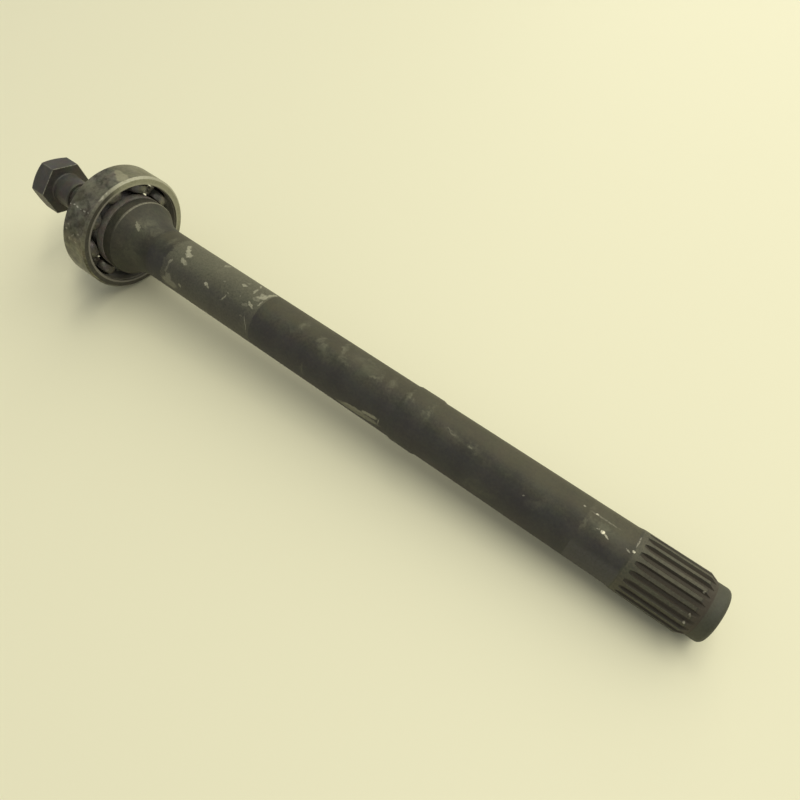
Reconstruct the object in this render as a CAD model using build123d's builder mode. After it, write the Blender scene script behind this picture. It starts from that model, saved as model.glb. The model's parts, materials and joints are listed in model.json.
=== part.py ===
import os
from math import acos, atan2, cos, degrees, radians, sin, sqrt, tan

from build123d import *

# A drive shaft in millimetres, lying as it comes to rest. It has a splined inner end, a
# caged ball bearing against its shoulder and a hexagon bolt in its outer end.
# Stations are distances along the shaft's axis from the bearing's inner face, positive
# towards the spline. Directions round the axis are in degrees from +Y towards +Z.

# Shaft, from the shoulder to the tip
shoulder_step = 0.15
shoulder_length = 5.4
shoulder_edge = 0.5
neck_length = 18.0
bar_d = 26.5
outer_bar_length = 152.4
collar_height = 0.45
collar_ramp = 1.8
collar_length = 15.0
inner_bar_length = 92.7
spline_crest_d = 27.2
spline_ramp = 2.5
spline_length = 30.3
spline_teeth = 21
tooth_depth = 1.3
root_width = 1.2
flank_angle = 32.0
groove_margin = 2.0
runout_radius = 6.0
tooth_end_length = 3.7
pilot_d = 23.9
pilot_length = 6.1
pilot_corner = 2.2
centre_mouth_d = 8.0
centre_drill_d = 4.0
centre_depth = 9.0

# Shaft, from the bearing seat to the outer end
seat_end_length = 1.6
stub_crest_d = 29.0
stub_length = 15.0
stub_teeth = 22
stub_tooth_depth = 1.2
stub_margin = 1.0
stub_chamfer = 1.4
tapped_depth = 27.0
hole_countersink = 1.0
drill_point_angle = 118.0

# Ball bearing
bearing_od = 62.0
bearing_bore = 30.0
seat_clearance = 0.02
bearing_width = 16.0
bearing_chamfer = 1.0
inner_land_drop = 2.85
outer_land_rise = 3.6
recess_step = 0.45
recess_depth = 1.3
ball_d = 9.525
ball_count = 9
race_clearance = 0.05
race_conformity = 0.52
first_ball_direction = 14.0

# Riveted cage
cage_sheet = 0.8
cage_width = 3.9
cage_shift = 0.25
pocket_clearance = 0.15
rivet_d = 1.6
rivet_hole_clearance = 0.02
rivet_head_d = 2.8
rivet_head_height = 0.7

# Retaining ring behind the bearing
clip_thickness = 1.5
clip_play = 0.1
clip_groove_depth = 0.7
clip_seat_clearance = 0.02
clip_rim = 3.4
clip_thin_rim = 2.2
clip_lug_d = 6.2
clip_hole_d = 2.0
clip_gap = 5.0

# Hexagon bolt
hex_width = 25.4
hex_height = 10.4
hex_direction = 41.9
hex_face_margin = 0.5
hex_chamfer_angle = 30.0
underhead_fillet = 0.8
shank_length = 11.6
relief_depth = 0.8
relief_length = 1.6
thread_d = 16.0
shank_step = 0.5
thread_clearance = 0.05
thread_engagement = 22.0
thread_end_chamfer = 1.0
bolt_projection = 21.0

# Stations along the shaft
neck_start = shoulder_length
neck_end = neck_start + neck_length
collar_start = neck_end + outer_bar_length
collar_end = collar_start + collar_length
ramp_start = collar_end + inner_bar_length
crest_start = ramp_start + spline_ramp
crest_end = ramp_start + spline_length
pilot_start = crest_end + tooth_end_length
tip_station = pilot_start + pilot_length
bearing_back = -bearing_width
clip_back = bearing_back - clip_thickness
clip_groove_back = clip_back - clip_play
stub_start = clip_groove_back - seat_end_length
stub_end = stub_start - stub_length
head_seat = stub_end - bolt_projection
head_end = head_seat - hex_height
ball_station = bearing_back / 2

# Radii and angles that follow
bar_r = bar_d / 2
collar_r = bar_r + collar_height
crest_r = spline_crest_d / 2
root_r = crest_r - tooth_depth
bore_r = bearing_bore / 2
seat_r = bore_r - seat_clearance
rim_r = bearing_od / 2
clip_groove_r = seat_r - clip_groove_depth
stub_r = stub_crest_d / 2
hole_r = thread_d / 2 + thread_clearance
ball_r = ball_d / 2
pitch_r = (bore_r + rim_r) / 2
inner_land_r = pitch_r - inner_land_drop
outer_land_r = pitch_r + outer_land_rise
shoulder_r = inner_land_r - shoulder_step
cage_r = pitch_r + cage_shift
ball_pitch = 360 / ball_count
flank = tan(radians(flank_angle))

# The shaft rests on the bearing's rim and on its two lowest teeth, because a groove faces
# straight down, so its axis slopes towards the spline. The teeth touch at their corners,
# where a groove's flank meets the crest circle.
flank_start = root_width / 2 - root_r * flank
rest_r = (sqrt((1 + flank**2) * crest_r**2 - flank_start**2) - flank_start * flank) / (1 + flank**2)
rim_station = -bearing_chamfer
tilt = atan2(rim_r - rest_r, crest_end - rim_station)
axis_height = rim_r * cos(tilt) + rim_station * sin(tilt)
shaft_direction = Vector(cos(tilt), 0, -sin(tilt))
shaft_origin = Vector(-(tip_station + head_end) / 2 * cos(tilt), 0, axis_height)
shaft_axis = Axis(shaft_origin, shaft_direction)

# Half sections are drawn here: first along the axis, then away from it
section_plane = Plane(shaft_origin, x_dir=shaft_direction, z_dir=(0, -1, 0))


def cross_plane(station, facing=1):
    """Plane square to the shaft, facing the spline (1) or the bolt (-1)."""
    return Plane(shaft_origin + shaft_direction * station, (0, 1, 0), shaft_direction * facing)


def groove_cutter(open_station, end_station, bottom_r, top_r):
    """Cutter for one spline groove, from its open end to where it runs out on a round."""
    towards = 1 if end_station > open_station else -1
    depth = top_r - bottom_r
    full_station = end_station - towards * sqrt((2 * runout_radius - depth) * depth)
    height = depth + 1
    rise = degrees(acos(1 - height / runout_radius))
    mouth = root_width / 2 + height * flank
    with BuildPart() as cutter:
        with BuildLine(section_plane) as path:
            run = Line((open_station, bottom_r), (full_station, bottom_r))
            JernArc(start=run @ 1, tangent=run % 1, radius=runout_radius, arc_size=towards * rise)
        with BuildSketch(Plane(run @ 0, (0, towards, 0), shaft_direction * towards)):
            with BuildLine():
                Polyline(
                    (-root_width / 2, 0),
                    (root_width / 2, 0),
                    (mouth, height),
                    (-mouth, height),
                    close=True,
                )
            make_face()
        sweep(path=path.line)
    return cutter.part


# Shaft: one turned forging, with both splines cut and the outer end drilled for the bolt
crest_groove = groove_cutter(tip_station, crest_start + groove_margin, root_r, crest_r)
stub_groove = groove_cutter(
    stub_end - 1, stub_start - stub_margin, stub_r - stub_tooth_depth, stub_r
)
drill_point = hole_r / tan(radians(drill_point_angle / 2))
centre_cone = (centre_mouth_d - centre_drill_d) / 2 / tan(radians(30))
with BuildPart() as shaft:
    with BuildSketch(section_plane):
        with BuildLine():
            Polyline(
                (tip_station - centre_depth - centre_drill_d / 4, 0),
                (stub_end + tapped_depth + drill_point, 0),
                (stub_end + tapped_depth, hole_r),
                (stub_end + hole_countersink, hole_r),
                (stub_end, hole_r + hole_countersink),
                (stub_end, stub_r - stub_chamfer),
                (stub_end + stub_chamfer, stub_r),
                (stub_start, stub_r),
                (stub_start, seat_r),
                (clip_groove_back, seat_r),
                (clip_groove_back, clip_groove_r),
                (bearing_back, clip_groove_r),
                (bearing_back, seat_r),
                (0, seat_r),
                (0, shoulder_r - shoulder_edge),
                (shoulder_edge, shoulder_r),
                (neck_start, shoulder_r),
            )
            TangentArc((neck_end, bar_r), (neck_start, shoulder_r), tangent=(-1, 0))
            Polyline(
                (neck_end, bar_r),
                (collar_start, bar_r),
                (collar_start + collar_ramp, collar_r),
                (collar_end - collar_ramp, collar_r),
                (collar_end, bar_r),
                (ramp_start, bar_r),
                (crest_start, crest_r),
                (crest_end, crest_r),
                (pilot_start, pilot_d / 2),
                (tip_station - pilot_corner, pilot_d / 2),
            )
            RadiusArc(
                (tip_station - pilot_corner, pilot_d / 2),
                (tip_station, pilot_d / 2 - pilot_corner),
                pilot_corner,
            )
            Polyline(
                (tip_station, pilot_d / 2 - pilot_corner),
                (tip_station, centre_mouth_d / 2),
                (tip_station - centre_cone, centre_drill_d / 2),
                (tip_station - centre_depth, centre_drill_d / 2),
                (tip_station - centre_depth - centre_drill_d / 4, 0),
            )
        make_face()
    revolve(axis=shaft_axis)
    add(
        [crest_groove.rotate(shaft_axis, 180 + k * 360 / spline_teeth) for k in range(spline_teeth)],
        mode=Mode.SUBTRACT,
    )
    add(
        [stub_groove.rotate(shaft_axis, k * 360 / stub_teeth) for k in range(stub_teeth)],
        mode=Mode.SUBTRACT,
    )
shaft.part.label = "shaft"

# Hexagon bolt: chamfered head, plain fitted shank, relief and a thread left at its outer size
thread_r = thread_d / 2
shank_r = thread_r + shank_step
corner_r = hex_width / sqrt(3)
face_r = hex_width / 2 - hex_face_margin
chamfer_drop = (corner_r - face_r) * tan(radians(hex_chamfer_angle))
relief_r = thread_r - relief_depth
shank_end = head_seat + shank_length
thread_start = shank_end + relief_length
thread_end = stub_end + thread_engagement
with BuildPart() as hex_bolt:
    with BuildSketch(cross_plane(head_end)):
        RegularPolygon(radius=corner_r, side_count=6, rotation=hex_direction)
    extrude(amount=hex_height)
    with BuildSketch(section_plane):
        with BuildLine():
            Polyline(
                (head_end, 0),
                (head_end, face_r),
                (head_end + chamfer_drop, corner_r),
                (head_seat, corner_r),
                (head_seat, 0),
                close=True,
            )
        make_face()
    revolve(axis=shaft_axis, mode=Mode.INTERSECT)
    with BuildSketch(section_plane):
        with BuildLine():
            RadiusArc(
                (head_seat, shank_r + underhead_fillet),
                (head_seat + underhead_fillet, shank_r),
                -underhead_fillet,
            )
            Polyline(
                (head_seat + underhead_fillet, shank_r),
                (shank_end - shank_step, shank_r),
                (shank_end, thread_r),
                (shank_end, relief_r),
                (thread_start - relief_depth, relief_r),
                (thread_start, thread_r),
                (thread_end - thread_end_chamfer, thread_r),
                (thread_end, thread_r - thread_end_chamfer),
                (thread_end, 0),
                (head_seat, 0),
                (head_seat, shank_r + underhead_fillet),
            )
        make_face()
    revolve(axis=shaft_axis)
hex_bolt.part.label = "hex_bolt"

# Retaining ring: an open ring whose rim narrows towards its two holed lugs
clip_inner_r = clip_groove_r + clip_seat_clearance
clip_outer_r = clip_inner_r + (clip_rim + clip_thin_rim) / 2
lug_r = clip_inner_r + clip_lug_d / 2
lug_angle = degrees((clip_gap + clip_lug_d) / 2 / lug_r)
with BuildPart() as retaining_ring:
    with BuildSketch(cross_plane(clip_back)):
        with Locations((0, (clip_rim - clip_thin_rim) / 2)):
            Circle(clip_outer_r)
        with PolarLocations(lug_r, 2, start_angle=270 - lug_angle, angular_range=4 * lug_angle):
            Circle(clip_lug_d / 2)
        Circle(clip_inner_r, mode=Mode.SUBTRACT)
        with PolarLocations(lug_r, 2, start_angle=270 - lug_angle, angular_range=4 * lug_angle):
            Circle(clip_hole_d / 2, mode=Mode.SUBTRACT)
        with Locations((0, -clip_outer_r)):
            Rectangle(clip_gap, 2 * clip_lug_d, mode=Mode.SUBTRACT)
    extrude(amount=clip_thickness)
retaining_ring.part.label = "retaining_ring"

# Bearing rings, each turned to a section with its race groove
race_r = race_conformity * ball_d
with BuildPart() as bearing_inner_ring:
    with BuildSketch(section_plane):
        with Locations((ball_station, (bore_r + inner_land_r) / 2)):
            Rectangle(bearing_width, inner_land_r - bore_r)
        chamfer(vertices().group_by(Axis.Y)[0], length=bearing_chamfer)
        with Locations((ball_station, pitch_r - ball_r - race_clearance + race_r)):
            Circle(race_r, mode=Mode.SUBTRACT)
    revolve(axis=shaft_axis)
bearing_inner_ring.part.label = "bearing_inner_ring"

with BuildPart() as bearing_outer_ring:
    with BuildSketch(section_plane):
        with Locations((ball_station, (rim_r + outer_land_r) / 2)):
            Rectangle(bearing_width, rim_r - outer_land_r)
        chamfer(vertices().group_by(Axis.Y)[-1], length=bearing_chamfer)
        with Locations(
            (-recess_depth / 2, outer_land_r + recess_step / 2),
            (bearing_back + recess_depth / 2, outer_land_r + recess_step / 2),
        ):
            Rectangle(recess_depth, recess_step, mode=Mode.SUBTRACT)
        with Locations((ball_station, pitch_r + ball_r + race_clearance - race_r)):
            Circle(race_r, mode=Mode.SUBTRACT)
    revolve(axis=shaft_axis)
bearing_outer_ring.part.label = "bearing_outer_ring"

# Cage: two pressed ribbons, bulged round the balls and riveted together between them
pocket_r = ball_r + pocket_clearance
bulge_r = pocket_r + cage_sheet
with BuildPart() as cage_inner_half:
    with BuildSketch(cross_plane(ball_station)):
        Circle(cage_r + cage_width / 2)
    extrude(amount=cage_sheet)
    with Locations(cross_plane(ball_station)):
        with PolarLocations(pitch_r, ball_count, start_angle=first_ball_direction):
            Sphere(bulge_r)
    with BuildSketch(cross_plane(ball_station)):
        Circle(cage_r + cage_width / 2)
        Circle(cage_r - cage_width / 2, mode=Mode.SUBTRACT)
    extrude(amount=bulge_r, mode=Mode.INTERSECT)
    with Locations(cross_plane(ball_station)):
        with PolarLocations(pitch_r, ball_count, start_angle=first_ball_direction):
            Sphere(pocket_r, mode=Mode.SUBTRACT)
        with PolarLocations(cage_r, ball_count, start_angle=first_ball_direction + ball_pitch / 2):
            Cylinder(rivet_d / 2 + rivet_hole_clearance, 3 * cage_sheet, mode=Mode.SUBTRACT)
cage_inner_half.part.label = "cage_inner_half"

with BuildPart() as cage_outer_half:
    mirror(cage_inner_half.part, about=cross_plane(ball_station))
cage_outer_half.part.label = "cage_outer_half"

# Cage rivets: a shank with a domed head at each end, repeated between the balls
dome_r = (rivet_head_d**2 / 4 + rivet_head_height**2) / (2 * rivet_head_height)
rivet_top = cage_sheet + rivet_head_height
rivet_centre = cross_plane(ball_station).from_local_coords(
    Vector(cage_r, 0, 0).rotate(Axis.Z, first_ball_direction + ball_pitch / 2)
)
with BuildPart() as cage_rivets:
    with BuildSketch(Plane(rivet_centre, x_dir=shaft_direction, z_dir=(0, -1, 0))):
        with BuildLine():
            Line((-rivet_top, 0), (rivet_top, 0))
            RadiusArc((rivet_top, 0), (cage_sheet, rivet_head_d / 2), -dome_r)
            Polyline(
                (cage_sheet, rivet_head_d / 2),
                (cage_sheet, rivet_d / 2),
                (-cage_sheet, rivet_d / 2),
                (-cage_sheet, rivet_head_d / 2),
            )
            RadiusArc((-cage_sheet, rivet_head_d / 2), (-rivet_top, 0), -dome_r)
        make_face()
    revolve(axis=Axis(rivet_centre, shaft_direction))
    add([cage_rivets.part.rotate(shaft_axis, k * ball_pitch) for k in range(1, ball_count)])
cage_rivets.part.label = "cage_rivets"

os.makedirs("parts", exist_ok=True)

# Balls, evenly spaced round the pitch circle
for k in range(ball_count):
    ball_centre = cross_plane(ball_station).from_local_coords(
        Vector(pitch_r, 0, 0).rotate(Axis.Z, first_ball_direction + k * ball_pitch)
    )
    with BuildPart(Plane(ball_centre, (0, 1, 0), shaft_direction)) as ball:
        Sphere(ball_r)
    ball.part.label = f"ball_{k + 1}"
    export_step(ball.part, f"parts/ball_{k + 1}.step")

export_step(shaft.part, "parts/shaft.step")
export_step(hex_bolt.part, "parts/hex_bolt.step")
export_step(retaining_ring.part, "parts/retaining_ring.step")
export_step(bearing_inner_ring.part, "parts/bearing_inner_ring.step")
export_step(bearing_outer_ring.part, "parts/bearing_outer_ring.step")
export_step(cage_inner_half.part, "parts/cage_inner_half.step")
export_step(cage_outer_half.part, "parts/cage_outer_half.step")
export_step(cage_rivets.part, "parts/cage_rivets.step")
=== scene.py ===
import json

import bpy
import numpy as np
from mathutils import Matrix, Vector


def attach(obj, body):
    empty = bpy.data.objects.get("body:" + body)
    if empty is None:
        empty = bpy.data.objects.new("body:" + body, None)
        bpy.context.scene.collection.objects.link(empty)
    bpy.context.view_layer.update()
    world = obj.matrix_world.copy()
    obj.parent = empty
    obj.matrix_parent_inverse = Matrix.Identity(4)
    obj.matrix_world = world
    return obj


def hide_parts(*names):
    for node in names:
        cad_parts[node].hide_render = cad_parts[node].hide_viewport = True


# A drive shaft lying on a pale table. Lengths in the dictionaries are in millimetres, counted
# along the shaft from the bearing's inner face (its station), positive towards the spline.
# Angles round the shaft are in degrees from the camera's side (-Y) towards the top (90).

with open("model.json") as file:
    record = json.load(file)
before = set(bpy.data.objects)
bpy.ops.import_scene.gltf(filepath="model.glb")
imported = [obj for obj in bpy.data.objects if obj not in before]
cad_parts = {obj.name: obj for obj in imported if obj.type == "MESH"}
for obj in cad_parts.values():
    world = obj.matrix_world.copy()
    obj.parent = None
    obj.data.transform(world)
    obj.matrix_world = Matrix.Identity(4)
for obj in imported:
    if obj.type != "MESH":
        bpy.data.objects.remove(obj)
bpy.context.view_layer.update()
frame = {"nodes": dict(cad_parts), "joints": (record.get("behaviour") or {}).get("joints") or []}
print("stage 1: the CAD frame is loaded")

bearingHalfWidth = 0.008  # metres, from the joint's place to the inner face
spin = frame["joints"][0]  # the bearing's own axis is the shaft's axis
axisWay = Vector(spin["axis"]).normalized()
sideWay = Vector((0, -1, 0))
upWay = axisWay.cross(sideWay)
if upWay.z < 0:
    upWay = -upWay
stationZero = Vector(spin["pos_m"]) + axisWay * bearingHalfWidth


def onShaft(station, radius, angle):
    # start point + station along the axis + radius * (cos angle towards the camera's side,
    # sin angle upwards), for whole arrays at once, mm in and metres out
    station, radius, angle = np.broadcast_arrays(station, radius, angle)
    turn = np.radians(angle)[..., None]
    across = np.cos(turn) * np.array(sideWay) + np.sin(turn) * np.array(upWay)
    mm = station[..., None] * np.array(axisWay) + radius[..., None] * across
    return np.array(stationZero) + mm / 1000


def linear(hexText):
    # sRGB hex to linear light: c / 12.92 up to 0.04045, else ((c + 0.055) / 1.055) ^ 2.4
    parts = [int(hexText[i:i + 2], 16) / 255 for i in (1, 3, 5)]
    return tuple(c / 12.92 if c <= 0.04045 else ((c + 0.055) / 1.055) ** 2.4 for c in parts) + (1.0,)


def addNode(tree, kind, inputs=None, take=0, **settings):
    # one shader node with its settings; each input is a value or another node's socket
    node = tree.nodes.new("ShaderNode" + kind)
    for name, value in settings.items():
        setattr(node, name, value)
    for name, value in (inputs or {}).items():
        if isinstance(value, bpy.types.NodeSocket):
            tree.links.new(value, node.inputs[name])
        else:
            node.inputs[name].default_value = value
    return node.outputs[take] if node.outputs else node


def newMaterial(name):
    material = bpy.data.materials.new(name)
    material.use_nodes = True
    material.node_tree.nodes.clear()
    return material, material.node_tree


def shaftCoordinates(tree):
    # object coordinates in mm, turned into station, angle and radius about the shaft
    place = addNode(tree, "TexCoord", take="Object")
    local = addNode(tree, "VectorMath", {0: place, 1: stationZero}, operation="SUBTRACT")
    mm = addNode(tree, "VectorMath", {0: local, "Scale": 1000.0}, operation="SCALE")
    along, side, up = [addNode(tree, "VectorMath", {0: mm, 1: way}, take="Value", operation="DOT_PRODUCT")
                       for way in (axisWay, sideWay, upWay)]
    turn = addNode(tree, "Math", {0: up, 1: side}, operation="ARCTAN2")
    angle = addNode(tree, "Math", {0: turn}, operation="DEGREES")
    # from -90 to 270, so that its jump lies underneath
    angle = addNode(tree, "Math", {0: angle, 1: 270.0, 2: -90.0}, operation="WRAP")
    square = addNode(tree, "Math", {0: side, 1: side}, operation="MULTIPLY")
    square = addNode(tree, "Math", {0: up, 1: up, 2: square}, operation="MULTIPLY_ADD")
    radius = addNode(tree, "Math", {0: square}, operation="SQRT")
    return {"mm": mm, "station": along, "angle": angle, "radius": radius}


def bandCover(tree, value, low, high, softLow, softHigh=None):
    # 1 from low to high, eased to 0 over the soft lengths outside them
    start, end = low - softLow, high + (softHigh or softLow)
    rise = addNode(tree, "MapRange", {0: value, 1: start, 2: low}, interpolation_type="SMOOTHSTEP")
    fall = addNode(tree, "MapRange", {0: value, 1: end, 2: high}, interpolation_type="SMOOTHSTEP")
    return addNode(tree, "Math", {0: rise, 1: fall}, operation="MULTIPLY")


def turnedNormal(tree, at, stations):
    # A turned face's normal has no part along the turning direction, so within the given
    # stations that part is taken out of the mesh's own: normal - around * (normal . around)
    softMm = 0.1
    covers = [bandCover(tree, at["station"], low, high, softMm) for low, high in stations]
    turned = covers[0]
    for cover in covers[1:]:
        turned = addNode(tree, "Math", {0: turned, 1: cover}, operation="MAXIMUM")
    normal = addNode(tree, "TexCoord", take="Normal")
    around = addNode(tree, "VectorMath", {0: axisWay, 1: at["mm"]}, operation="CROSS_PRODUCT")
    around = addNode(tree, "VectorMath", {0: around}, operation="NORMALIZE")
    part = addNode(tree, "VectorMath", {0: normal, 1: around}, take="Value", operation="DOT_PRODUCT")
    part = addNode(tree, "Math", {0: part, 1: turned}, operation="MULTIPLY")
    part = addNode(tree, "VectorMath", {0: around, "Scale": part}, operation="SCALE")
    normal = addNode(tree, "VectorMath", {0: normal, 1: part}, operation="SUBTRACT")
    return addNode(tree, "VectorTransform", {"Vector": normal}, vector_type="NORMAL",
                   convert_from="OBJECT", convert_to="WORLD")


def spotCovers(tree, flat, ragged, tornMm, spots, mmPerDegree, edge):
    # Each spot is 1 inside an ellipse laid on the unrolled surface, eased to 0 from the outer to
    # the inner share of its size, times its strength. The noise pushes every outline about. A
    # spot's place takes a trace of the cover before it, so that the renderer works them out one
    # after another: side by side, they need more values at once than a material can hold.
    trace = (1e-9, 1e-9, 1e-9)
    endlessMm = 1e6  # across the unrolled surface a spot has no end
    torn = addNode(tree, "VectorMath", {0: ragged, "Scale": tornMm}, operation="SCALE")
    torn = addNode(tree, "VectorMath", {0: flat, 1: torn}, operation="ADD")
    most, place = 0.0, torn
    for station, angle, halfLength, halfWidth, turn, strength in spots:
        inside = addNode(tree, "Mapping", {
            "Vector": place, "Location": (station, angle * mmPerDegree, 0), "Rotation": (0, 0, turn),
            "Scale": (halfLength, halfWidth, endlessMm)}, vector_type="TEXTURE")
        reach = addNode(tree, "VectorMath", {0: inside}, take="Value", operation="LENGTH")
        cover = addNode(tree, "MapRange", {0: reach, 1: edge[0], 2: edge[1], 4: strength},
                        interpolation_type="SMOOTHSTEP")
        most = addNode(tree, "Math", {0: most, 1: cover}, operation="MAXIMUM")
        place = addNode(tree, "VectorMath", {0: most, 1: trace, 2: torn}, operation="MULTIPLY_ADD")
    return most


def laidOver(tree, surface, cover, layer):
    # the surface with the layer's colour, and its roughness and metal share where it has them,
    # mixed in by the cover
    colours = {0: cover, 6: surface["colour"], 7: linear(layer["colour"])}
    mixed = {"colour": addNode(tree, "Mix", colours, take=2, data_type="RGBA")}
    for key in ("roughness", "metallic"):
        mixed[key] = surface[key]
        if key in layer:
            mixed[key] = addNode(tree, "Mix", {0: cover, 2: surface[key], 3: layer[key]}, data_type="FLOAT")
    return mixed


# Noises of every steel. Scale is per mm, and a finish gives the size of grain and blotches in mm
# itself. W only picks another slice, so that no two of them repeat each other.
noises = {
    "grain": {"Detail": 4.0, "Roughness": 0.6, "W": 5.0},
    "blotch": {"Detail": 4.0, "Roughness": 0.6, "W": 2.0},
    "hue": {"Detail": 3.0, "W": 8.0},
    "ragged": {"Scale": 0.5, "Detail": 5.0, "Roughness": 0.68},
    "crumbs": {"Scale": 1.0, "Detail": 5.0, "Roughness": 0.7},
    "clouds": {"Scale": 0.22, "Detail": 6.0, "Roughness": 0.62, "Distortion": 0.8},
}
# How a finish is mixed from them. Range is where light takes over from dark.
mixing = {"blotchShare": 0.6, "grainShare": 0.5, "range": (0.38, 0.74), "huesPerBlotch": 1.6,
          "grainRoughness": 0.2, "residueHeight": 0.8, "reliefMetres": 0.0003}
# Layers that lie in spots, from below upwards. Edge is the outer and inner share of a spot over
# which it fades. A noise lets them through from the low to the high end of its range, and
# nowhere less than the least share.
layerKinds = {
    "haze_and_highlight": {"edge": (1.7, 0.1), "noise": "clouds", "range": (0.32, 0.7), "least": 0.0, "ease": "SMOOTHSTEP"},
    "residue_and_highlight": {"edge": (1.15, 0.75), "noise": "crumbs", "range": (0.3, 0.5), "least": 0.35,
                "ease": "SMOOTHSTEP", "roughness": 0.75, "metallic": 0.0},
    "bare": {"edge": (1.15, 0.7), "noise": "grain", "range": (0.36, 0.5), "least": 0.0, "ease": "LINEAR",
             "roughness": 0.4, "metallic": 0.6},
}
wornRange = (0.35, 0.6)  # of the crumbs, where an edge is worn


def steel(name, finish):
    # A steel surface: two tones mixed by blotches and grain, then each zone's own tone, some of
    # them painted highlights, reflections, fill light and shade, then a thin haze, dried residue and
    # bare metal in spots, a few haze and residue spots being painted highlights. Residue is rough
    # and not metallic, bare metal is both bright and smooth, and grain and residue stand out a little.
    material, tree = newMaterial(name)
    at = shaftCoordinates(tree)
    scales = {"grain": 1 / finish["grainMm"], "blotch": 1 / finish["blotchMm"],
              "hue": mixing["huesPerBlotch"] / finish["blotchMm"]}
    noise = {}
    for key, settings in noises.items():
        inputs = {"Vector": at["mm"], **settings}
        if key in scales:
            inputs["Scale"] = scales[key]
        take = "Color" if key in ("hue", "ragged") else 0
        dimensions = "4D" if "W" in settings else "3D"
        noise[key] = addNode(tree, "TexNoise", inputs, take, noise_dimensions=dimensions)
    ragged = addNode(tree, "VectorMath", {0: noise["ragged"], 1: (0.5, 0.5, 0.5)}, operation="SUBTRACT")
    shift = addNode(tree, "SeparateXYZ", {0: ragged})

    tone = addNode(tree, "Math", {0: noise["blotch"], 1: mixing["blotchShare"]}, operation="MULTIPLY")
    tone = addNode(tree, "Math", {0: noise["grain"], 1: mixing["grainShare"], 2: tone},
                   operation="MULTIPLY_ADD")
    low, high = mixing["range"]
    tone = addNode(tree, "MapRange", {0: tone, 1: low, 2: high}, interpolation_type="SMOOTHSTEP")
    colour = addNode(tree, "Mix", {0: tone, 6: linear(finish["dark"]), 7: linear(finish["light"])},
                     take=2, data_type="RGBA")
    # each channel times 1 - hue / 2 to 1 + hue / 2
    span = finish["hue"]
    hue = addNode(tree, "VectorMath", {0: noise["hue"], 1: (span,) * 3, 2: (1 - span / 2,) * 3},
                  operation="MULTIPLY_ADD")
    colour = addNode(tree, "VectorMath", {0: colour, 1: hue}, operation="MULTIPLY")
    swing = mixing["grainRoughness"]
    rough = addNode(tree, "Math", {0: noise["grain"], 1: swing, 2: finish["roughness"] - swing / 2},
                    operation="MULTIPLY_ADD")
    surface = {"colour": colour, "roughness": rough, "metallic": finish["metallic"]}

    for zone in finish.get("zones", []):
        low, high = zone["crumbs"]
        cover = addNode(tree, "MapRange", {0: noise["crumbs"], 1: low, 2: high, 4: zone["strength"]})
        for key in ("station", "radius", "angle"):
            if key in zone:
                value = at[key]
                if key == "station" and "tornMm" in zone:
                    value = addNode(tree, "Math", {0: shift, 1: zone["tornMm"], 2: value},
                                    operation="MULTIPLY_ADD")
                band = bandCover(tree, value, *zone[key])
                cover = addNode(tree, "Math", {0: cover, 1: band}, operation="MULTIPLY")
        surface = laidOver(tree, surface, cover, zone)

    covers = {"residue_and_highlight": 0.0}
    if "layers" in finish:
        arc = addNode(tree, "Math", {0: at["angle"], 1: finish["mmPerDegree"]}, operation="MULTIPLY")
        flat = addNode(tree, "CombineXYZ", {0: at["station"], 1: arc})
        for key, layer in finish["layers"].items():
            kind = layerKinds[key]
            cover = spotCovers(tree, flat, ragged, layer["tornMm"], layer["spots"], finish["mmPerDegree"],
                               kind["edge"])
            low, high = kind["range"]
            through = addNode(tree, "MapRange", {0: noise[kind["noise"]], 1: low, 2: high, 3: kind["least"]},
                              interpolation_type=kind["ease"])
            covers[key] = addNode(tree, "Math", {0: cover, 1: through}, operation="MULTIPLY")
            surface = laidOver(tree, surface, covers[key], {**kind, "colour": layer["colour"]})
    if "worn" in finish:  # edges worn bright, from the piece's own attribute
        worn = addNode(tree, "Attribute", take="Fac", attribute_name="wear")
        through = addNode(tree, "MapRange", {0: noise["crumbs"], 1: wornRange[0], 2: wornRange[1]})
        worn = addNode(tree, "Math", {0: worn, 1: through}, operation="MULTIPLY")
        surface = laidOver(tree, surface, worn, {"colour": finish["worn"]})

    height = addNode(tree, "Math", {0: covers["residue_and_highlight"], 1: mixing["residueHeight"], 2: noise["grain"]},
                     operation="MULTIPLY_ADD")
    relief = {"Strength": finish["bump"], "Distance": mixing["reliefMetres"], "Height": height}
    if "turned" in finish:
        relief["Normal"] = turnedNormal(tree, at, finish["turned"])
    bump = addNode(tree, "Bump", relief)
    shader = addNode(tree, "BsdfPrincipled", {
        "Base Color": surface["colour"], "Metallic": surface["metallic"], "Roughness": surface["roughness"],
        "Normal": bump, "Specular Tint": linear(finish["tint"]), "Specular IOR Level": finish["sheen"]})
    addNode(tree, "OutputMaterial", {"Surface": shader})
    return material


# Camera as fitted to the photograph: its place from the shaft's station 0, and where it looks
view = {"placeMm": (276.28, -136.30, 238.44), "looks": (-0.34825, 0.46117, -0.81612), "lensMm": 30.397,
        "sensorMm": 36.0, "clipMetres": (0.01, 50.0)}


def addCamera(settings):
    data = bpy.data.cameras.new("camera")
    data.lens, data.sensor_width = settings["lensMm"], settings["sensorMm"]
    data.clip_start, data.clip_end = settings["clipMetres"]
    camera = bpy.data.objects.new("camera", data)
    bpy.context.scene.collection.objects.link(camera)
    camera.location = stationZero + Vector(settings["placeMm"]) / 1000
    camera.rotation_mode = "QUATERNION"
    camera.rotation_quaternion = Vector(settings["looks"]).to_track_quat("-Z", "Y")
    bpy.context.scene.camera = camera


addCamera(view)
print("stage 2: the camera stands")

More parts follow.
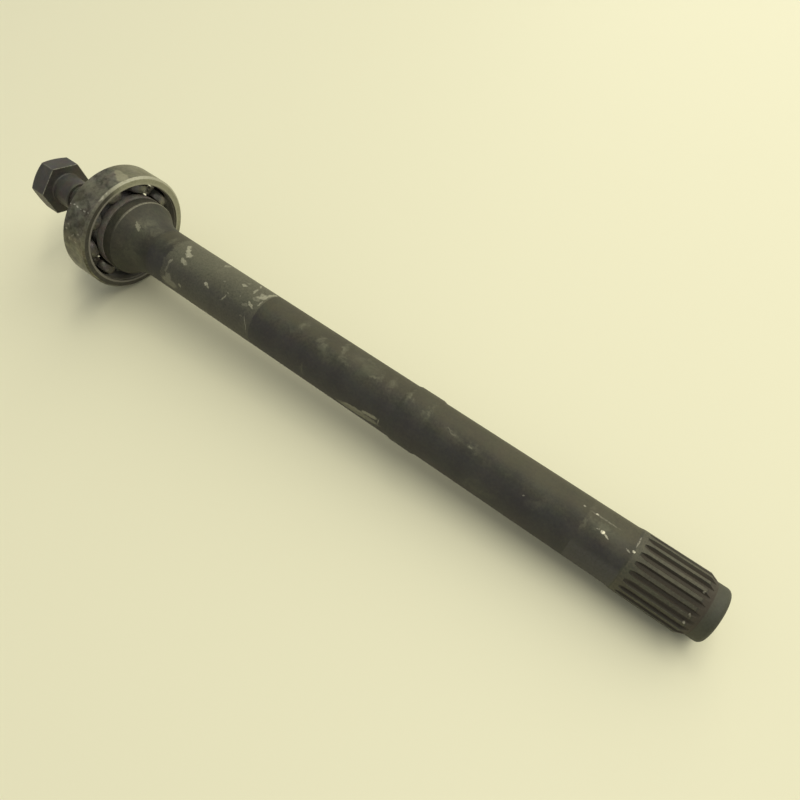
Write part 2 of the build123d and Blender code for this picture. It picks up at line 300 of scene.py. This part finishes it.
# Table top and light, in metres: a cream laminate, one wide soft window behind and above, a
# narrow ceiling lamp and a dimmer room
table = {"colour": "#e7e4c6", "roughness": 0.5, "sheen": 0.3, "size": 8.0, "room": "#eeefee",
         "roomStrength": 0.46}
lamps = {
    "window": {"place": (0.5, 1.9, 1.5), "aim": (0.0, 0.0, 0.02), "size": (4.0, 2.4), "watts": 42.0,
               "colour": "#fffbe9"},
    "ceiling": {"place": (0.35, 0.3, 1.9), "aim": (0.05, 0.0, 0.02), "size": (2.2, 0.4), "watts": 17.0,
                "colour": "#fffbe9"},
}


def addTable(settings):
    half = settings["size"] / 2
    mesh = bpy.data.meshes.new("table_top")
    corners = [(-half, -half, 0), (half, -half, 0), (half, half, 0), (-half, half, 0)]
    mesh.from_pydata(corners, [], [(0, 1, 2, 3)])
    top = bpy.data.objects.new("table_top", mesh)
    bpy.context.scene.collection.objects.link(top)
    material, tree = newMaterial("laminate_pressed_cream")  # plain and slightly dull
    shader = addNode(tree, "BsdfPrincipled", {
        "Base Color": linear(settings["colour"]), "Roughness": settings["roughness"],
        "Specular IOR Level": settings["sheen"]})
    addNode(tree, "OutputMaterial", {"Surface": shader})
    mesh.materials.append(material)
    world = bpy.data.worlds.new("room")
    world.use_nodes = True
    background = world.node_tree.nodes["Background"]
    background.inputs[0].default_value = linear(settings["room"])
    background.inputs[1].default_value = settings["roomStrength"]
    bpy.context.scene.world = world


def addLamp(name, settings):
    data = bpy.data.lights.new(name, "AREA")
    data.shape = "RECTANGLE"
    data.size, data.size_y = settings["size"]
    data.energy = settings["watts"]
    data.color = linear(settings["colour"])[:3]
    lamp = bpy.data.objects.new(name, data)
    lamp.location = settings["place"]
    lamp.rotation_mode = "QUATERNION"
    lamp.rotation_quaternion = (Vector(settings["aim"]) - Vector(settings["place"])).to_track_quat("-Z", "Y")
    bpy.context.scene.collection.objects.link(lamp)


addTable(table)
for name, settings in lamps.items():
    addLamp(name, settings)
bpy.context.scene.view_settings.view_transform = "Standard"
print("stage 3: table and light are set")

# Hexagon bolt with a rolled thread of 2 mm pitch, in place of the plain one. Wear is how bright
# the rub on an edge is, and a corner's wear reaches so many columns to each side.
boltForm = {
    "headEnd": -65.6, "headSeat": -55.2, "width": 25.4, "faceMargin": 0.5, "chamferDegrees": 30.0,
    "cornerAngle": 138.1, "edgeMm": 0.5, "cornerWear": 0.4, "seatWear": 1.0, "wearColumns": 0.75,
    "fillet": 0.8, "filletRows": 6, "shankRadius": 8.5, "shankEnd": -43.6,
    "reliefRadius": 6.9, "reliefStep": 0.1, "threadStart": -42.0, "threadRise": 0.8, "threadEnd": -12.2,
    "threadRadius": 8.0, "threadDepth": 1.1, "pitch": 2.0, "flankSlope": 1.3, "crestDrop": 0.1,
    "columns": 180, "rowsPerPitch": 14, "sharpDegrees": 28.0,
}


def boltSurface(form):
    # Rows from the head's outer face to the thread's end, each a closed line round the axis.
    # Hexagon: half width / cos(angle from the middle of a flat). The chamfer is a cone that
    # rises from the face's circle, and meets each flat where the two radii agree.
    # Thread: crest radius - depth * a wave that climbs one pitch per turn, with flat crests and
    # roots, inside a cone at each end.
    columnStep = 360 / form["columns"]
    angle = np.arange(form["columns"]) * columnStep
    flatAngle = (angle - form["cornerAngle"]) % 60 - 30
    hexRadius = form["width"] / 2 / np.cos(np.radians(flatAngle))
    atCorner = np.abs(flatAngle) > 30 - columnStep * form["wearColumns"]
    cornerWear = form["cornerWear"] * atCorner
    faceRadius = form["width"] / 2 - form["faceMargin"]
    meets = form["headEnd"] + (hexRadius - faceRadius) * np.tan(np.radians(form["chamferDegrees"]))
    seat, edge, shank, fillet = form["headSeat"], form["edgeMm"], form["shankRadius"], form["fillet"]
    crest, depth, relief = form["threadRadius"], form["threadDepth"], form["reliefRadius"]
    rows = []

    def addRow(station, radius, wear=0.0):
        # each value is one number, or one for each column
        rows.append(np.broadcast_arrays(station, radius, wear, angle)[:3])

    addRow(form["headEnd"], faceRadius)
    addRow(meets, hexRadius, form["cornerWear"])
    addRow(meets + edge, hexRadius, cornerWear)
    addRow(seat - edge, hexRadius, cornerWear)
    addRow(seat, hexRadius, form["seatWear"])
    addRow(seat, hexRadius - edge)
    for bend in np.radians(np.linspace(0, 90, form["filletRows"])):  # a quarter circle under the head
        addRow(seat + fillet * (1 - np.cos(bend)), shank + fillet * (1 - np.sin(bend)))
    addRow(form["shankEnd"] - (shank - crest), shank)
    addRow(form["shankEnd"], crest)
    addRow(form["shankEnd"] + form["reliefStep"], relief)
    riseStart = form["threadStart"] - form["threadRise"]
    addRow(riseStart, relief)
    rowStep = form["pitch"] / form["rowsPerPitch"]
    for station in np.arange(riseStart + form["reliefStep"], form["threadEnd"], rowStep):
        phase = (station / form["pitch"] - angle / 360) % 1
        wave = np.clip(form["flankSlope"] * np.abs(2 * phase - 1) - form["crestDrop"], 0, 1)
        cone = relief + max(0.0, min(station - riseStart, form["threadEnd"] - station))
        addRow(station, np.minimum(crest - depth * wave, max(cone, crest - depth)))
    stations, radii, wear = (np.array(part) for part in zip(*rows))
    return onShaft(stations, radii, angle[None]), wear


def gridPiece(name, places, wear, sharpDegrees):
    # each four neighbours of the grid make a face, the last column meets the first, and the
    # first and last rows are closed by one flat face each
    rows, columns = places.shape[:2]
    index = np.arange(rows * columns).reshape(rows, columns)
    near, far = index[:-1], index[1:]
    quads = np.stack([near, far, np.roll(far, -1, 1), np.roll(near, -1, 1)], -1).reshape(-1, 4)
    ends = [index[0].tolist(), index[-1][::-1].tolist()]
    mesh = bpy.data.meshes.new(name)
    mesh.from_pydata(places.reshape(-1, 3), [], quads.tolist() + ends)
    mesh.polygons.foreach_set("use_smooth", np.ones(len(mesh.polygons), bool))
    mesh.set_sharp_from_angle(angle=np.radians(sharpDegrees))
    mesh.attributes.new("wear", "FLOAT", "POINT").data.foreach_set("value", wear.ravel())
    mesh.update()
    piece = bpy.data.objects.new(name, mesh)
    bpy.context.scene.collection.objects.link(piece)
    return piece


boltPiece = gridPiece("threaded_bolt", *boltSurface(boltForm), boltForm["sharpDegrees"])
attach(boltPiece, "shaft_body")
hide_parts("hex_bolt")
print("stage 4: the threaded bolt is in place")

# How to read a finish. A spot is its station, angle, half length and half width in mm, turn in
# radians and strength. A zone covers a band of station, radius or angle, each given as its low
# end, its high end and how softly both fade, or each of them, and fills in over a range of the
# crumbs. Torn is by how many mm the noise pushes an outline about. Turned holds the stations
# where every face is turned. Places and colours were set by comparing renders with the
# photograph.

# Shaft: medium-carbon steel, forged, turned and induction-hardened, now dark with oil and handling.
# The eye sees a dull olive-brown metal with chalky dried residue, rubbed bands and bare nicks.
# Painted into it are highlights on the bell, the shoulder's rim and the seal land, shade in the
# neck and along the underside, and the table's reflection under the seal land.
shaftFinish = {
    "dark": "#32312b", "light": "#48473b", "blotchMm": 12.0, "grainMm": 1.2, "hue": 0.35, "metallic": 0.1,
    "roughness": 0.6, "bump": 0.3, "tint": "#fffdf2", "sheen": 0.36, "mmPerDegree": 0.2313,
    "turned": [(-18.9, 283.0), (318.0, 330.0)],
    "layers": {
        "haze_and_highlight": {"colour": "#6b6a57", "tornMm": 7.0, "spots": [
            # haze spots (14.0, 84.0) and (18.0, 92.0) are a painted highlight on the bell's upper side
            (14.0, 84.0, 3.6, 3.2, 0.0, 0.75), (18.0, 92.0, 7.0, 5.0, 0.0, 0.5),
            (31.5, 95.0, 1.6, 4.5, 0.0, 0.6), (14.0, 25.0, 5.0, 5.0, 0.4, 0.3),
            (50.0, 85.0, 10.0, 3.5, 0.0, 0.3), (64.0, 105.0, 9.0, 4.0, 0.3, 0.3),
            (74.0, 40.0, 7.0, 3.0, 0.0, 0.25), (90.8, 32.0, 2.5, 5.0, -0.2, 0.3),
            (116.5, 96.0, 1.8, 3.6, -0.4, 0.75), (113.5, 76.0, 3.0, 1.2, -0.5, 0.5),
            (128.5, 92.0, 2.6, 1.6, 0.7, 0.8), (131.0, 84.0, 1.8, 1.4, 0.0, 0.7),
            (133.0, 72.0, 5.0, 2.2, -0.5, 0.45), (140.2, 98.0, 1.1, 5.4, 0.25, 0.9),
            (143.5, 82.0, 3.6, 1.0, -0.5, 0.85), (152.0, 100.0, 9.0, 5.0, 0.0, 0.4),
            (159.5, 87.0, 2.4, 1.0, 0.6, 0.8), (162.0, 92.0, 1.2, 2.6, 0.0, 0.6),
            (168.5, 92.0, 1.6, 4.4, 0.3, 0.5), (177.5, 94.0, 1.0, 3.2, 0.0, 0.8),
            (180.5, 88.0, 1.2, 0.8, 0.0, 0.6), (189.0, 90.0, 1.0, 5.0, 0.0, 0.8),
            (187.5, 78.0, 1.2, 1.4, 0.0, 0.5), (204.0, 76.0, 5.0, 1.2, -0.2, 0.5),
            (213.0, 76.0, 2.4, 1.6, 0.0, 0.6), (246.0, 52.0, 4.0, 1.6, 0.5, 0.3),
            (222.0, 12.0, 6.0, 4.0, 0.0, 0.3), (265.5, 88.0, 1.0, 5.6, 0.0, 0.7),
            (272.5, 82.0, 6.0, 1.6, 0.0, 0.6), (127.0, 12.0, 1.0, 4.0, 0.0, 0.4),
        ]},
        "residue_and_highlight": {"colour": "#96947f", "tornMm": 3.2, "spots": [
            (40.0, 105.5, 1.3, 1.6, 0.0, 0.9), (41.8, 96.3, 2.4, 1.1, -0.75, 1.0),
            (44.2, 88.0, 2.1, 1.5, -0.3, 0.95), (44.9, 69.2, 2.7, 1.1, -0.35, 0.85),
            (38.2, 54.7, 1.5, 0.8, 0.9, 0.55), (37.8, 40.0, 3.2, 0.6, 1.5, 0.25),
            (39.6, 20.0, 2.0, 2.2, 0.0, 0.4), (40.6, 8.0, 5.2, 2.4, 0.0, 0.45),
            (47.9, 18.0, 1.0, 0.8, 0.5, 0.6), (62.3, 56.0, 1.3, 0.7, -0.2, 1.0),
            (64.2, 53.0, 1.2, 0.5, -0.45, 0.8), (74.5, 53.0, 2.2, 0.5, 1.15, 0.7),
            (78.9, 99.6, 1.7, 0.8, 0.25, 0.85), (79.3, 112.0, 0.9, 0.8, 0.0, 0.3),
            (83.8, 125.6, 1.7, 0.6, -1.1, 0.8), (85.3, 104.0, 2.2, 0.6, -1.4, 0.7),
            (90.2, 96.5, 2.2, 1.0, 0.5, 0.9), (91.4, 103.0, 1.2, 2.0, 0.1, 0.95),
            (89.4, 103.5, 1.1, 1.0, -0.4, 0.7), (92.2, 121.0, 0.8, 3.6, -0.1, 0.85),
            (92.5, 84.5, 0.4, 1.6, 0.0, 0.8), (89.2, 87.0, 1.9, 1.2, 0.0, 0.3),
            (88.9, 70.4, 2.4, 0.7, -0.45, 0.9), (86.4, 64.3, 1.8, 0.6, 0.5, 0.3),
            (87.5, 41.0, 0.6, 0.4, 0.0, 0.35), (62.2, 124.0, 0.9, 2.6, 0.0, 0.55),
            (69.9, 82.0, 0.7, 0.5, 0.4, 0.35), (81.7, 74.7, 0.4, 0.3, 0.0, 0.5),
            # residue spot (12.2, 75.5) is a painted highlight on the bell
            (75.6, 66.0, 0.4, 0.4, 0.0, 0.5), (12.2, 75.5, 2.3, 0.8, -0.61, 0.55),
            (166.0, 14.5, 4.6, 1.0, 0.12, 0.75), (157.5, 5.0, 6.5, 1.0, 0.12, 0.65),
            (160.0, -1.0, 12.0, 1.7, 0.1, 0.5), (212.0, 73.5, 0.8, 0.7, 0.0, 0.35),
            (201.5, 78.0, 2.6, 0.4, -0.3, 0.25),
        ]},
        "bare": {"colour": "#c2beaa", "tornMm": 1.2, "spots": [
            (90.3, 36.0, 4.2, 0.14, -1.05, 0.45), (91.9, 22.0, 2.6, 0.14, -1.45, 0.35),
            (271.5, 99.0, 6.5, 0.4, 0.0, 0.18), (272.8, 77.0, 0.9, 0.8, 0.2, 1.0),
            (274.8, 74.0, 1.2, 0.4, -0.5, 0.6), (270.6, 78.0, 0.7, 0.3, 0.4, 0.5),
            (267.8, 100.0, 0.8, 0.45, 0.0, 0.8), (262.0, 100.0, 0.5, 0.4, 0.0, 0.4),
            (285.8, 78.0, 0.6, 0.5, 0.0, 0.9), (285.8, 98.0, 0.35, 3.0, 0.0, 0.35),
            (284.0, 74.0, 1.2, 0.3, -0.3, 0.4), (313.4, 86.0, 0.5, 0.35, 0.3, 0.7),
            (313.4, 42.0, 0.5, 0.35, -0.3, 0.5), (313.4, 25.0, 0.5, 0.35, 0.0, 0.45),
            (171.2, 14.0, 0.25, 2.0, 0.0, 0.4), (44.8, 84.5, 0.5, 0.35, 0.0, 0.9),
            (62.1, 56.5, 0.9, 0.5, -0.2, 0.9), (240.5, 55.0, 0.6, 0.3, 0.6, 0.3),
        ]},
    },
    "zones": [
        # painted shade: the bar's lower, camera side tinted darker and cooler
        {"station": (24.0, 284.5, 1.0), "angle": (-100, 48, 24), "crumbs": (0.0, 0.6), "strength": 0.6,
         "colour": "#3a383c", "roughness": 0.6, "metallic": 0.1},
        # painted light: the bar's upper, far side tinted warmer brown, as it is lit
        {"station": (24.0, 284.5, 1.0), "angle": (98, 190, 22), "crumbs": (0.0, 0.6), "strength": 0.6,
         "colour": "#4b4733", "roughness": 0.6, "metallic": 0.1},
        {"station": (35.0, 66.0, 1.2, 4.0), "tornMm": 9.0, "crumbs": (0.2, 0.75), "strength": 0.5,
         "colour": "#6a6856", "roughness": 0.52, "metallic": 0.1},
        {"station": (70.0, 93.5, 4.0, 0.25), "tornMm": 0.8, "crumbs": (0.2, 0.75), "strength": 0.42,
         "colour": "#6a6856", "roughness": 0.52, "metallic": 0.1},
        # residue, and painted light: the residue band lighter still on its upper side
        {"station": (36.0, 93.5, 2.0, 0.25), "angle": (70, 190, 26), "crumbs": (0.2, 0.7), "strength": 0.5,
         "colour": "#6c6c59", "roughness": 0.52, "metallic": 0.1},
        # painted shade in the hollow of the neck between shoulder and bar
        {"station": (5.6, 24.0, 2.0), "tornMm": 6.0, "crumbs": (0.1, 0.9), "strength": 0.55,
         "colour": "#2a2922", "roughness": 0.66, "metallic": 0.0},
        # painted highlight: the seal land lighter on its upper, lit side
        {"station": (264.6, 285.7, 0.3), "angle": (66, 150, 12), "crumbs": (0.2, 0.7), "strength": 0.22,
         "colour": "#5e5b48", "roughness": 0.45, "metallic": 0.3},
        # painted reflection of the table: the seal land lighter on its underside
        {"station": (264.6, 285.5, 0.4), "angle": (-60, 30, 12), "crumbs": (0.1, 0.6), "strength": 0.42,
         "colour": "#5c5a56", "roughness": 0.6, "metallic": 0.0},
        {"station": (286.5, 319, 0.4), "radius": (11.0, 13.0, 0.4), "crumbs": (0.1, 0.5), "strength": 0.8,
         "colour": "#463f35", "roughness": 0.7, "metallic": 0.0},
        {"station": (286.2, 314.2, 0.5), "radius": (13.5, 14.0, 0.08), "crumbs": (0.25, 0.65),
         "strength": 0.45, "colour": "#6b6753", "roughness": 0.48, "metallic": 0.2},
        {"station": (317.9, 325, 0.3), "crumbs": (0.2, 0.6), "strength": 0.8, "colour": "#494b3e",
         "roughness": 0.6, "metallic": 0.0},
        # the shoulder's rim, lighter along its upper, far side: wear and a painted highlight
        {"station": (4.85, 5.7, 0.2), "radius": (19.2, 20.5, 0.2), "angle": (96, 185, 60),
         "crumbs": (0.2, 0.55), "strength": 0.6, "colour": "#94917f", "roughness": 0.45, "metallic": 0.4},
    ],
}
# Bolt: alloy steel, hot-forged and phosphated; dark and dull, its edges rubbed lighter
boltFinish = {
    "dark": "#383634", "light": "#494742", "blotchMm": 7.0, "grainMm": 0.9, "hue": 0.7, "metallic": 0.1,
    "roughness": 0.5, "bump": 0.3, "tint": "#fffae6", "sheen": 0.6, "worn": "#a19f8e",
}
# Rings: bearing steel, ground; grey with handling stains, with painted highlights on the near
# face's outer edge and the upper outer surface, a painted reflection on the face's upper side
# and painted fill light inside the outer ring
ringFinish = {
    "dark": "#403e34", "light": "#858270", "blotchMm": 7.0, "grainMm": 2.2, "hue": 0.3, "metallic": 0.75,
    "roughness": 0.4, "bump": 0.12, "tint": "#ffffff", "sheen": 0.5, "mmPerDegree": 0.541,
    "turned": [(-20.0, 2.0)],
    "layers": {
        "haze_and_highlight": {"colour": "#5f5b42", "tornMm": 7.0, "spots": [
            (-13.0, 106.0, 3.4, 3.0, 0.0, 0.9), (-6.0, 127.5, 2.6, 1.6, 0.0, 0.9),
            (-12.0, 60.0, 4.0, 3.0, 0.3, 0.6), (-5.0, 40.0, 5.0, 4.0, 0.0, 0.5),
        ]},
        "residue_and_highlight": {"colour": "#8d8a70", "tornMm": 2.6, "spots": [
            (-4.6, 101.5, 3.4, 3.0, 0.0, 0.75), (-2.6, 98.0, 2.2, 1.8, 0.5, 0.8),
            (-8.4, 103.5, 2.6, 2.0, -0.4, 0.6),
        ]},
        "bare": {"colour": "#c4c1ae", "tornMm": 1.2, "spots": [
            (-14.8, 52.6, 0.5, 0.35, 0.0, 0.7), (-12.4, 53.6, 0.7, 0.4, 0.3, 0.9),
            (-10.0, 53.4, 0.8, 0.5, -0.2, 0.9), (-7.4, 52.8, 0.6, 0.3, 0.0, 0.6),
            (-4.8, 53.4, 0.9, 0.45, 0.1, 0.8), (-2.6, 54.0, 0.5, 0.3, 0.0, 0.7),
            (-13.0, 30.0, 1.0, 0.4, 0.4, 0.4), (-8.0, 27.0, 1.4, 0.4, 0.8, 0.4),
            (-4.0, 31.0, 1.0, 0.4, 0.2, 0.4), (-10.5, 22.0, 0.6, 1.0, 0.0, 0.4),
            (-6.0, 22.0, 0.8, 0.3, -0.3, 0.4), (-12.0, 35.0, 0.7, 0.3, 0.2, 0.4),
            (-0.9, 73.5, 0.5, 3.2, 0.0, 0.5),
        ]},
    },
    "zones": [
        # the outer ring's races and bore lightened grey: grease, and painted fill light against the shade
        # between the rings
        {"station": (-17.0, 0.2, 0.2), "radius": (20.0, 28.0, 0.1), "crumbs": (0.0, 0.4), "strength": 0.9,
         "colour": "#837f75", "roughness": 0.5, "metallic": 0.0},
        {"station": (-1.1, 0.2, 0.2), "radius": (28.15, 29.95, 0.2), "crumbs": (0.0, 0.5), "strength": 0.9,
         "colour": "#43413a", "roughness": 0.5, "metallic": 0.2},
        # painted highlights: two lighter bands along the upper outer surface
        {"station": (-16.2, -0.8, 0.8), "radius": (30.6, 31.5, 0.2), "angle": (110, 150, 13),
         "crumbs": (0.0, 0.6), "strength": 0.48, "colour": "#999672", "roughness": 0.45, "metallic": 0.4},
        {"station": (-16.2, -0.8, 0.8), "radius": (30.6, 31.5, 0.2), "angle": (72, 78, 6),
         "crumbs": (0.1, 0.6), "strength": 0.35, "colour": "#96937a", "roughness": 0.45, "metallic": 0.4},
        # painted reflection: the near face lighter on its upper side
        {"station": (-1.1, 0.2, 0.2), "radius": (27.2, 31.2, 0.3), "angle": (96, 200, 22),
         "crumbs": (0.1, 0.5), "strength": 0.8, "colour": "#a4a389", "roughness": 0.5, "metallic": 0.2},
        # painted highlight along the chamfer of the near face's outer edge, brighter above, fainter at the
        # side
        {"station": (-1.3, -0.02, 0.1), "radius": (29.95, 31.2, 0.12), "angle": (110, 205, 50),
         "crumbs": (0.25, 0.5), "strength": 0.7, "colour": "#aaa894", "roughness": 0.45, "metallic": 0.5},
        {"station": (-1.3, -0.02, 0.1), "radius": (29.95, 31.2, 0.12), "angle": (24, 84, 12),
         "crumbs": (0.3, 0.6), "strength": 0.35, "colour": "#807e6e", "roughness": 0.45, "metallic": 0.5},
    ],
}
# Inner ring: the same steel under grease, its tone lightened as painted fill light against the
# shade in the bearing's opening
hubFinish = {
    "dark": "#69645e", "light": "#88837b", "blotchMm": 5.0, "grainMm": 1.4, "hue": 0.5, "metallic": 0.1,
    "roughness": 0.45, "bump": 0.15, "tint": "#ffffff", "sheen": 0.5, "turned": [(-20.0, 2.0)],
}
# Balls: bearing steel, lapped, with a film of grease
ballFinish = {
    "dark": "#504e49", "light": "#716f68", "blotchMm": 3.0, "grainMm": 0.6, "hue": 0.3, "metallic": 1.0,
    "roughness": 0.24, "bump": 0.03, "tint": "#ffffff", "sheen": 0.5,
}
# Cage and its rivets: mild steel strip, pressed; greasy, its tone lightened as painted fill
# light against the shade in the bearing's opening
cageFinish = {
    "dark": "#5b5851", "light": "#827f75", "blotchMm": 4.0, "grainMm": 0.8, "hue": 0.5, "metallic": 0.5,
    "roughness": 0.4, "bump": 0.12, "tint": "#ffffff", "sheen": 0.5,
}
# Retaining ring: spring steel, stamped and blackened
clipFinish = {
    "dark": "#302e2a", "light": "#484640", "blotchMm": 4.0, "grainMm": 0.8, "hue": 0.5, "metallic": 0.6,
    "roughness": 0.45, "bump": 0.1, "tint": "#ffffff", "sheen": 0.5,
}

shaftSteel = steel("carbon_steel_forged_and_turned", shaftFinish)
boltSteel = steel("alloy_steel_phosphated", boltFinish)
ringSteel = steel("bearing_steel_ground", ringFinish)
hubSteel = steel("bearing_steel_greased", hubFinish)
ballSteel = steel("bearing_steel_lapped", ballFinish)
cageSteel = steel("mild_steel_pressed", cageFinish)
clipSteel = steel("spring_steel_blackened", clipFinish)
finishes = {"shaft": shaftSteel, "hex_bolt": boltSteel, "retaining_ring": clipSteel,
            "bearing_inner_ring": hubSteel, "bearing_outer_ring": ringSteel}
for name, node in frame["nodes"].items():
    if name.startswith("ball_"):
        finish = ballSteel
    else:
        finish = finishes.get(name, cageSteel)
    for slot in node.material_slots:
        slot.material = finish
boltPiece.data.materials.append(boltSteel)
print("stage 5: every piece has its finish")
